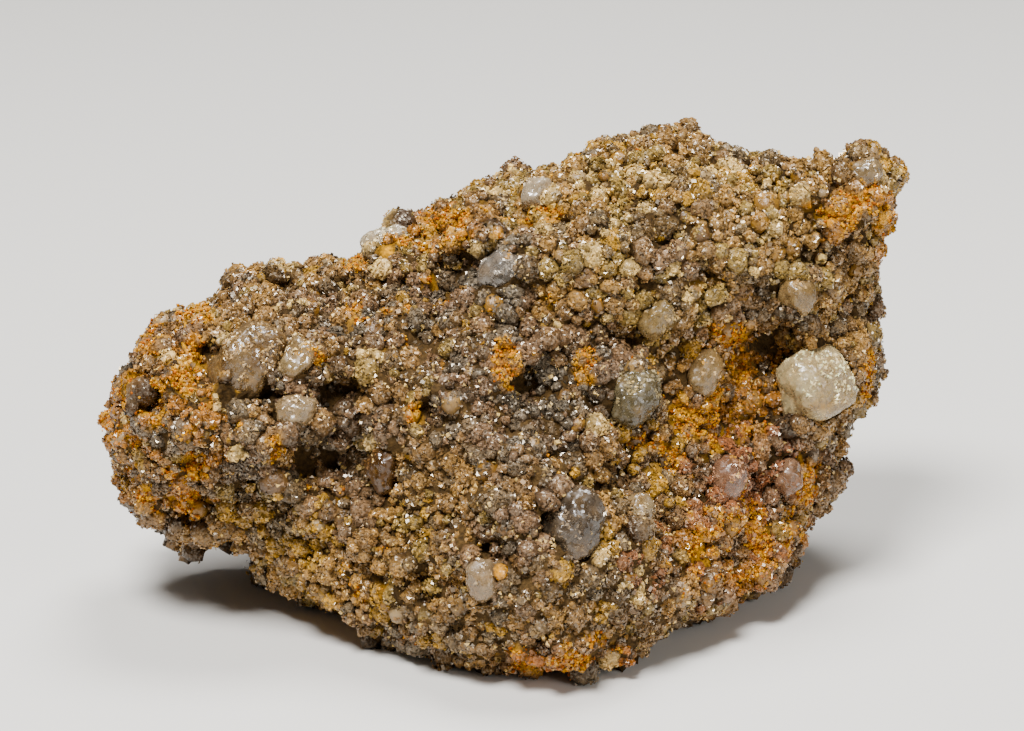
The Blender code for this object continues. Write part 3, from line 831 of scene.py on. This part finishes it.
def put_piece(name, points, faces, tints, material, smooth):
    """Makes a piece from arrays, rests it on the floor and hangs it on the specimen's body."""
    points = points.copy()
    points[:, 2] = np.maximum(points[:, 2], 0.0)
    mesh = bpy.data.meshes.new(name)
    mesh.vertices.add(len(points))
    mesh.vertices.foreach_set("co", points.astype(np.float32).ravel())
    mesh.loops.add(faces.size)
    mesh.loops.foreach_set("vertex_index", faces.astype(np.int32).ravel())
    mesh.polygons.add(len(faces))
    mesh.polygons.foreach_set("loop_start", np.arange(len(faces), dtype=np.int32) * 3)
    mesh.polygons.foreach_set("use_smooth", np.full(len(faces), smooth))
    tint = mesh.attributes.new("tint", "FLOAT_COLOR", "POINT")
    opaque = np.column_stack([tints, np.ones(len(tints))])
    tint.data.foreach_set("color", opaque.astype(np.float32).ravel())
    mesh.update(calc_edges=True)
    mesh.materials.append(material)
    piece = new_object(name, mesh)
    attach(piece, "root")
    return piece


def fill_inputs(tree, node, inputs):
    """Gives a node's inputs their values, or links them from other outputs."""
    for key, value in dict(inputs).items():
        if isinstance(value, bpy.types.NodeSocket):
            tree.links.new(value, node.inputs[key])
        else:
            node.inputs[key].default_value = value


def add_node(tree, kind, inputs=(), **settings):
    """Adds a node with its settings, and fills its inputs."""
    made = tree.nodes.new(kind)
    for key, value in settings.items():
        setattr(made, key, value)
    fill_inputs(tree, made, inputs)
    return made


def new_material(name):
    """A material with its tree, its shader and the piece's object coordinates."""
    material = bpy.data.materials.new(name)
    material.use_nodes = True
    tree = material.node_tree
    shader = tree.nodes["Principled BSDF"]
    place = add_node(tree, "ShaderNodeTexCoord").outputs["Object"]
    return material, tree, shader, place


def per_mm(size_in_mm):
    """A texture's scale for features of this size."""
    return 1 / (size_in_mm * MM)


def shade_tint(tree, shader, factor):
    """Colours the shader with the piece's own tint, made lighter and darker by the factor."""
    tint = add_node(tree, "ShaderNodeAttribute", attribute_name="tint").outputs["Color"]
    shaded = add_node(tree, "ShaderNodeVectorMath", {0: tint, "Scale": factor}, operation="SCALE")
    tree.links.new(shaded.outputs["Vector"], shader.inputs["Base Color"])


def speckled_material(name, speck_size, detail, darkest, lightest):
    """A material whose tint is darker and lighter by a speckle of this size in mm. It gives the
    speckle too, for roughness and bump."""
    material, tree, shader, place = new_material(name)
    noise = {"Vector": place, "Scale": per_mm(speck_size), "Detail": detail}
    speckle = add_node(tree, "ShaderNodeTexNoise", noise).outputs["Fac"]
    spread = {"Value": speckle, **NOISE_SPAN, "To Min": darkest, "To Max": lightest}
    factor = add_node(tree, "ShaderNodeMapRange", spread)
    shade_tint(tree, shader, factor.outputs["Result"])
    return material, tree, shader, place, speckle


def crystal_facets(tree, place, size, tilt):
    """A normal that changes from one tiny crystal face to the next, and a value for each face."""
    cells = add_node(tree, "ShaderNodeTexVoronoi", {"Vector": place, "Scale": per_mm(size)})
    value = cells.outputs["Color"]
    middle = {0: value, 1: (0.5, 0.5, 0.5)}
    centred = add_node(tree, "ShaderNodeVectorMath", middle, operation="SUBTRACT")
    lean = {0: centred.outputs["Vector"], "Scale": tilt}
    leaning = add_node(tree, "ShaderNodeVectorMath", lean, operation="SCALE")
    surface = add_node(tree, "ShaderNodeNewGeometry")
    both = {0: surface.outputs["Normal"], 1: leaning.outputs["Vector"]}
    summed = add_node(tree, "ShaderNodeVectorMath", both, operation="ADD").outputs["Vector"]
    normal = add_node(tree, "ShaderNodeVectorMath", {0: summed}, operation="NORMALIZE")
    return normal.outputs["Vector"], value


@cache
def druse_material():
    """Chlorargyrite druse: hundreds of tiny cube faces over the grain's own colour, resinous and
    bright where one catches the light."""
    material, tree, shader, place = new_material("chlorargyrite_druse")
    normal, face_value = crystal_facets(tree, place, 0.18, 1.25)
    specks = add_node(tree, "ShaderNodeTexVoronoi", {"Vector": place, "Scale": per_mm(0.17)})
    spread = {"Value": specks.outputs["Color"], "To Min": 0.6, "To Max": 1.45}
    fine = add_node(tree, "ShaderNodeMapRange", spread).outputs["Result"]
    noise = {"Vector": place, "Scale": per_mm(1.3), "Detail": 3.0}
    blotches = add_node(tree, "ShaderNodeTexNoise", noise).outputs["Fac"]
    spread = {"Value": blotches, **NOISE_SPAN, "To Min": 0.8, "To Max": 1.2}
    wide = add_node(tree, "ShaderNodeMapRange", spread).outputs["Result"]
    factor = add_node(tree, "ShaderNodeMath", {0: fine, 1: wide}, operation="MULTIPLY")
    shade_tint(tree, shader, factor.outputs["Value"])
    spread = {"Value": face_value, "To Min": 0.2, "To Max": 0.55}
    rough = add_node(tree, "ShaderNodeMapRange", spread).outputs["Result"]
    crust = {"Roughness": rough, "Normal": normal, "IOR": CHLORARGYRITE_IOR}
    fill_inputs(tree, shader, {**crust, "Specular IOR Level": 0.26, "Specular Tint": (*GLINT, 1)})
    return material


@cache
def ground_material():
    """Fine cement between the grains: earthy, dull and brown, with limonite powder."""
    material, tree, shader, _, grit = speckled_material("earthy_cement", 0.35, 4.0, 0.45, 1.5)
    height = {"Height": grit, "Strength": 0.9, "Distance": 0.25 * MM}
    bump = add_node(tree, "ShaderNodeBump", height).outputs["Normal"]
    fill_inputs(tree, shader, {"Normal": bump, "Roughness": 0.85, "Specular IOR Level": 0.12})
    return material


@cache
def crystal_material():
    """Single chlorargyrite crystals: resinous, almost adamantine faces in the crust's colours."""
    made = speckled_material("chlorargyrite_crystals", 0.12, 2.0, 0.7, 1.3)
    material, tree, shader, _, speckle = made
    spread = {"Value": speckle, "To Min": 0.08, "To Max": 0.36}
    rough = add_node(tree, "ShaderNodeMapRange", spread).outputs["Result"]
    crust = {"Roughness": rough, "IOR": CHLORARGYRITE_IOR}
    fill_inputs(tree, shader, {**crust, "Specular IOR Level": 0.34, "Specular Tint": (*GLINT, 1)})
    return material


@cache
def limonite_material():
    """Powdery limonite: bright, dull and slightly uneven."""
    material, tree, shader, _, grit = speckled_material("powdery_limonite", 0.15, 3.0, 0.6, 1.25)
    height = {"Height": grit, "Strength": 0.8, "Distance": 0.08 * MM}
    bump = add_node(tree, "ShaderNodeBump", height).outputs["Normal"]
    fill_inputs(tree, shader, {"Normal": bump, "Roughness": 0.9, "Specular IOR Level": 0.15})
    return material


@cache
def quartz_sand_material():
    """Bare sand grains: translucent quartz with a frosted, slightly greasy surface."""
    material, tree, shader, place = new_material("frosted_quartz_sand")
    tint = add_node(tree, "ShaderNodeAttribute", attribute_name="tint").outputs["Color"]
    noise = {"Vector": place, "Scale": per_mm(0.3), "Detail": 4.0}
    frost = add_node(tree, "ShaderNodeTexNoise", noise).outputs["Fac"]
    spread = {"Value": frost, "To Min": 0.15, "To Max": 0.6}
    rough = add_node(tree, "ShaderNodeMapRange", spread).outputs["Result"]
    height = {"Height": frost, "Strength": 0.8, "Distance": 0.12 * MM}
    bump = add_node(tree, "ShaderNodeBump", height).outputs["Normal"]
    frosted = {"Base Color": tint, "Roughness": rough, "Normal": bump}
    fill_inputs(tree, shader, {**frosted, "IOR": QUARTZ_IOR, "Transmission Weight": 0.3})
    return material


@cache
def quartz_material(slot):
    """A larger quartz grain: cloudy inside, frosted outside, with glittering specks."""
    made = speckled_material(f"frosted_{slot}", 0.6, 5.0, 0.75, 1.15)
    material, tree, shader, place, frost = made
    spread = {"Value": frost, "From Min": 0.35, "From Max": 0.65, "To Min": 0.08, "To Max": 0.4}
    rough = add_node(tree, "ShaderNodeMapRange", spread).outputs["Result"]
    normal, _ = crystal_facets(tree, place, 0.3, 0.5)
    frosted = {"Roughness": rough, "Normal": normal}
    fill_inputs(tree, shader, {**frosted, "IOR": QUARTZ_IOR, "Transmission Weight": 0.65})
    return material


class SPECIMEN_OT_ground(Operator):
    """Lays the brown cement that shows between the grains, darkened with painted shade deep in the
    gaps
    """

    bl_idname = "specimen.ground"
    bl_label = "Cement ground"

    def execute(self, context):
        points, faces = merged_node("matrix", 1)
        normals = point_normals(points, faces)
        share = limonite_share(points, normals)
        lift = 0.30 * wander(points, 1.1, 21) + 0.18 * wander(points, 0.5, 22)
        beside = toward_quartz(points)[1] / COLLAR_REACH
        base = points[:, 2] < 0.02 * MM
        front = ahead_share(normals, 2, 0.9)
        filled = filled_share(points, normals)
        depth = (0.42 + 0.16 * front - lift) * (1 - 0.55 * filled)
        sunk = depth * MM * beside + sunk_by(points, normals, beside)
        points = points - normals * (sunk * ~base)[:, None]
        # Painted shade: deep gaps take the darkened cement colour; where cement fills the gaps it
        # lightens towards FILLING.
        shade = SHADED_CEMENT * (1 + 0.4 * wander(points, 3, 23))[:, None]
        shade = shade + (FILLING - shade) * filled[:, None]
        share = share * np.clip(0.7 + 0.6 * wander(points, 0.6, 24), 0.2, 1)
        tints = shade + (LIMONITE[0] - shade) * share[:, None]
        piece = put_piece("cement_ground", points, faces, tints, ground_material(), True)
        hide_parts("matrix")
        return {"FINISHED"}


class SPECIMEN_OT_crusted_grains(Operator):
    """Packs the grit's crusted grains over the specimen"""

    bl_idname = "specimen.crusted_grains"
    bl_label = "Crusted grains"

    def execute(self, context):
        fine = grain_bed()[2] < context.scene.grit_settings.middling
        crusted = ~quartz_share()
        self.pack("crusted_grains", np.flatnonzero(crusted & ~fine), ball_grid(8, 3))
        self.pack("fine_grit", np.flatnonzero(crusted & fine), ball_grid(6, 2))
        return {"FINISHED"}

    def pack(self, name, chosen, ball):
        """Grains from a ball's directions, in their crust's colours, with painted shade low on each
        grain and painted light on its top.
        """
        points = grain_points(chosen, ball[0], LUMP_SHARPNESS)
        tints = stained_and_shaded(points, chosen, grain_colours()[chosen])
        put_in_parts(name, points, ball[1], tints, druse_material(), True)


class SPECIMEN_OT_quartz_sand(Operator):
    """Sets bare translucent quartz grains among the crusted ones"""

    bl_idname = "specimen.quartz_sand"
    bl_label = "Quartz sand"

    def execute(self, context):
        chosen = np.flatnonzero(quartz_share())
        random = np.random.RandomState(71)
        ball, faces = ball_grid(8, 4)
        points = grain_points(chosen, ball, SAND_SHARPNESS)
        colours = SAND_COLOURS[random.randint(0, len(SAND_COLOURS), len(chosen))]
        # Sand grains take half their own colour and half the grit's: limonite, painted shade low
        # down and painted light on top.
        tints = (stained_and_shaded(points, chosen, colours) + colours[:, None]) / 2
        put_in_parts("quartz_sand", points, faces, tints, quartz_sand_material(), True)
        return {"FINISHED"}


class SPECIMEN_OT_druse(Operator):
    """Grows tiny chlorargyrite crystals on the grains, and crumbs of limonite in the patches"""

    bl_idname = "specimen.druse"
    bl_label = "Crystals and limonite crumbs"

    def execute(self, context):
        grit = context.scene.grit_settings
        chosen, ways, spots = grain_skin_places()
        random = np.random.RandomState(63)
        rise = height_on_grain(chosen, spots[:, None])[:, 0]
        share = limonite_share(spots, ways) * np.clip(1.2 - 0.75 * rise, 0.25, 1)
        rusty = share > random.uniform(0.2, 0.9, len(spots))
        crumbs = np.flatnonzero(rusty)[: grit.crumbs]
        bare = quartz_share()[chosen] & (random.uniform(size=len(chosen)) < 0.25)
        crusted = np.flatnonzero(~rusty & ~bare)
        crystals = crusted[: grit.crystals + grit.corners]
        own = chosen[crystals]
        # Painted shade and light: crystals low on their grain are darker, high ones lighter.
        lit = np.clip(0.42 + 0.78 * rise[crystals], 0.15, 1.2)[:, None]
        colours = self.varied(grain_colours()[own] * lit, spots[crystals], ways[crystals], random)
        dust_ways, dust_spots, dust_colours = dusted_places(random)
        dust_colours = self.varied(dust_colours, dust_spots, dust_ways, random)
        whole, partial = crystals[: grit.crystals], crystals[grit.crystals :]
        self.grow_cubes(grit, ways[whole], spots[whole], colours[: grit.crystals], random)
        self.grow_corners(
            grit,
            np.vstack([ways[partial], dust_ways]),
            np.vstack([spots[partial], dust_spots]),
            np.vstack([colours[grit.crystals :], dust_colours]),
            random,
        )
        self.lay_crumbs(grit, ways[crumbs], spots[crumbs], random)
        return {"FINISHED"}

    def varied(self, colours, spots, ways, random):
        """Crystals lighter and darker than their grain, a few painted pale as painted glints, and
        rusty in limonite.
        """
        colours = colours * random.uniform(*CRYSTAL_SHADES, (len(colours), 1))
        # Painted glints: a few crystals are painted pale cream, as if catching the light.
        painted_glint = random.uniform(size=len(colours)) < PAINTED_GLINT_CRYSTALS
        colours[painted_glint] = colours[painted_glint] * 0.4 + CRUSTS["cream"] * 1.05
        shares = limonite_share(spots, ways)[:, None]
        return np.minimum(colours + (LIMONITE[0] * 0.8 - colours) * shares * 0.8, 0.85)

    def grow_cubes(self, grit, ways, spots, colours, random):
        """Cubes turned every way, sunk a little into the grain that they grow on."""
        cube = np.array([(x, y, z) for x in (-1, 1) for y in (-1, 1) for z in (-1, 1)])
        count = len(ways)
        sizes = grit.crystal_size * (0.6 + 1.3 * random.uniform(size=(count, 1, 1)) ** 3)
        shapes = cube[None] * random.uniform(0.7, 1.2, (count, 1, 3)) * sizes
        points = turned(random_turns(count, random), shapes)
        points = points + (spots + ways * sizes[:, 0] * 0.25)[:, None]
        put_in_parts("crust_crystals", points, CUBE_FACES, colours, crystal_material(), False)

    def grow_corners(self, grit, ways, spots, colours, random):
        """Cubes grown in so far that one corner shows: three square faces meet at a tip, over a
        three-sided base. The cube's diagonal leans from the grain's facing at random."""
        turns = np.arange(3) * math.tau / 3
        ring = np.column_stack([np.cos(turns), np.sin(turns)]) * math.sqrt(2 / 3)
        corner = np.vstack([np.column_stack([ring, np.zeros(3)]), [[0, 0, math.sqrt(1 / 3)]]])
        faces = np.array([(3, 0, 1), (3, 1, 2), (3, 2, 0), (0, 2, 1)])
        count = len(ways)
        axis = unit(ways + 0.35 * random.normal(size=(count, 3)))
        across = unit(np.cross(axis, random.normal(size=(count, 3))))
        frame_of = np.stack([across, np.cross(axis, across), axis], axis=-1)
        sizes = 2.6 * grit.crystal_size * random.uniform(0.55, 1.35, (count, 1, 1))
        points = turned(frame_of, corner[None] * sizes)
        points = points + (spots - ways * sizes[:, 0] * 0.12)[:, None]
        put_in_parts("crust_corners", points, faces, colours, crystal_material(), False)

    def lay_crumbs(self, grit, ways, spots, random):
        """Rough little lumps whose points lie at random distances."""
        ball, faces = ball_grid(4, 1)
        count = len(spots)
        sizes = CRUMB_SIZE * random.uniform(0.6, 1.7, (count, 1, 1))
        shapes = ball[None] * random.uniform(0.7, 1.4, (count, len(ball), 1)) * sizes
        points = turned(random_turns(count, random), shapes)
        points = points + (spots + ways * sizes[:, 0] * 0.3)[:, None]
        pick = random.randint(0, len(LIMONITE), count)
        tints = LIMONITE[pick] * random.uniform(0.7, 1.3, (count, 1))
        put_in_parts("limonite_crumbs", points, faces, tints, limonite_material(), True)


class SPECIMEN_OT_set_quartz(Operator):
    """Replaces the larger quartz grains by finer ones of the same form"""

    bl_idname = "specimen.set_quartz"
    bl_label = "Larger quartz grains"

    def execute(self, context):
        ways, faces = ball_grid(48, 30)
        for name, look in QUARTZ_LOOKS.items():
            points = quartz_surface(name, ways)
            material = quartz_material(look.slot)
            tints = self.clouded(points, look)
            piece = put_piece(f"{name}_grain", points, faces, tints, material, True)
            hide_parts(name)
        return {"FINISHED"}

    def clouded(self, points, look):
        """Cloudier and clearer places, with patches of rusty stain."""
        cloud = 0.5 + 0.5 * wander(points, 1.6, 33) + 0.25 * wander(points, 0.5, 34)
        cloud = np.clip(cloud, 0, 1)[:, None]
        tints = look.colour * (1 - cloud) + look.cloud * cloud
        stain = np.clip(wander(points, 1.2, 35) * 2 - 0.4, 0, 1)[:, None] * look.stain
        return tints + (LIMONITE[0] - tints) * stain


class SPECIMEN_OT_stage(Operator):
    """Sets the pale floor, the soft lights and the camera"""

    bl_idname = "specimen.stage"
    bl_label = "Stage"

    def execute(self, context):
        stage = context.scene.stage_settings
        self.lay_floor(stage)
        self.hang_lights(context, stage)
        self.aim_camera(context, stage)
        return {"FINISHED"}

    def lay_floor(self, stage):
        """A wide square of matt card."""
        mesh = bpy.data.meshes.new("floor")
        corners = [(x * FLOOR_REACH, y * FLOOR_REACH, 0) for x, y in SQUARE]
        mesh.from_pydata(corners, [], [(0, 1, 2, 3)])
        floor = new_object("floor", mesh)
        material, _, shader, _ = new_material("matt_card")
        shader.inputs["Base Color"].default_value = (*stage.floor, 1)
        shader.inputs["Roughness"].default_value = 0.9
        mesh.materials.append(material)

    def hang_lights(self, context, stage):
        """Round softboxes turned to the specimen, in a dim white room."""
        for name, (where, size, power) in SOFTBOXES.items():
            light = bpy.data.lights.new(name, "AREA")
            light.shape = "DISK"
            light.size = size
            light.energy = power * stage.brightness
            lamp = new_object(name, light)
            lamp.location = where
            toward = Vector(LIT_PLACE) - Vector(where)
            lamp.rotation_euler = toward.to_track_quat("-Z", "Y").to_euler()
        world = bpy.data.worlds.new("soft_room")
        world.use_nodes = True
        backdrop = world.node_tree.nodes["Background"].inputs
        backdrop["Color"].default_value = (1.0, 1.0, 1.0, 1)
        backdrop["Strength"].default_value = ROOM_LIGHT
        context.scene.world = world

    def aim_camera(self, context, stage):
        """The camera looks square at the face, placed so that it frames it as the picture does."""
        left, top = face_corner()
        across = left + (PICTURE_MIDDLE[0] - OUTLINE_LEFT) * PIXEL
        up = top - (PICTURE_MIDDLE[1] - OUTLINE_TOP) * PIXEL - AIM_LOWER
        low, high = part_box("matrix")
        middle = (np.array(low) + np.array(high)) / 2
        depth = middle @ OUT_OF_FACE - OUTLINE_BEHIND
        target = RIGHT * across + UP_FACE * up + OUT_OF_FACE * depth
        camera = bpy.data.cameras.new("camera")
        camera.lens = stage.lens
        camera.sensor_width = SENSOR_WIDTH
        camera.clip_start = NEAREST_SEEN
        distance = stage.lens / SENSOR_WIDTH * PICTURE_WIDTH * PIXEL
        eye = new_object("camera", camera)
        eye.location = target + OUT_OF_FACE * distance
        eye.rotation_euler = (math.pi / 2 - FACE_LEAN, 0, 0)
        context.scene.camera = eye


class SPECIMEN_PT_panel(Panel):
    """Lists the steps that build the specimen"""

    bl_label = "Chlorargyrite specimen"
    bl_idname = "SPECIMEN_PT_panel"
    bl_space_type = "VIEW_3D"
    bl_region_type = "UI"
    bl_category = "Specimen"

    def draw(self, context):
        for step in STEPS:
            self.layout.operator(step.bl_idname)


STEPS = (
    SPECIMEN_OT_ground,
    SPECIMEN_OT_crusted_grains,
    SPECIMEN_OT_quartz_sand,
    SPECIMEN_OT_druse,
    SPECIMEN_OT_set_quartz,
    SPECIMEN_OT_stage,
)
CLASSES = (GritSettings, StageSettings, *STEPS, SPECIMEN_PT_panel)


def register():
    for cls in CLASSES:
        bpy.utils.register_class(cls)
    bpy.types.Scene.grit_settings = PointerProperty(type=GritSettings)
    bpy.types.Scene.stage_settings = PointerProperty(type=StageSettings)


def unregister():
    del bpy.types.Scene.grit_settings
    del bpy.types.Scene.stage_settings
    for cls in reversed(CLASSES):
        bpy.utils.unregister_class(cls)


def main():
    register()
    bpy.ops.specimen.ground()
    bpy.ops.specimen.crusted_grains()
    bpy.ops.specimen.quartz_sand()
    bpy.ops.specimen.druse()
    bpy.ops.specimen.set_quartz()
    bpy.ops.specimen.stage()


if __name__ == "__main__":
    main()
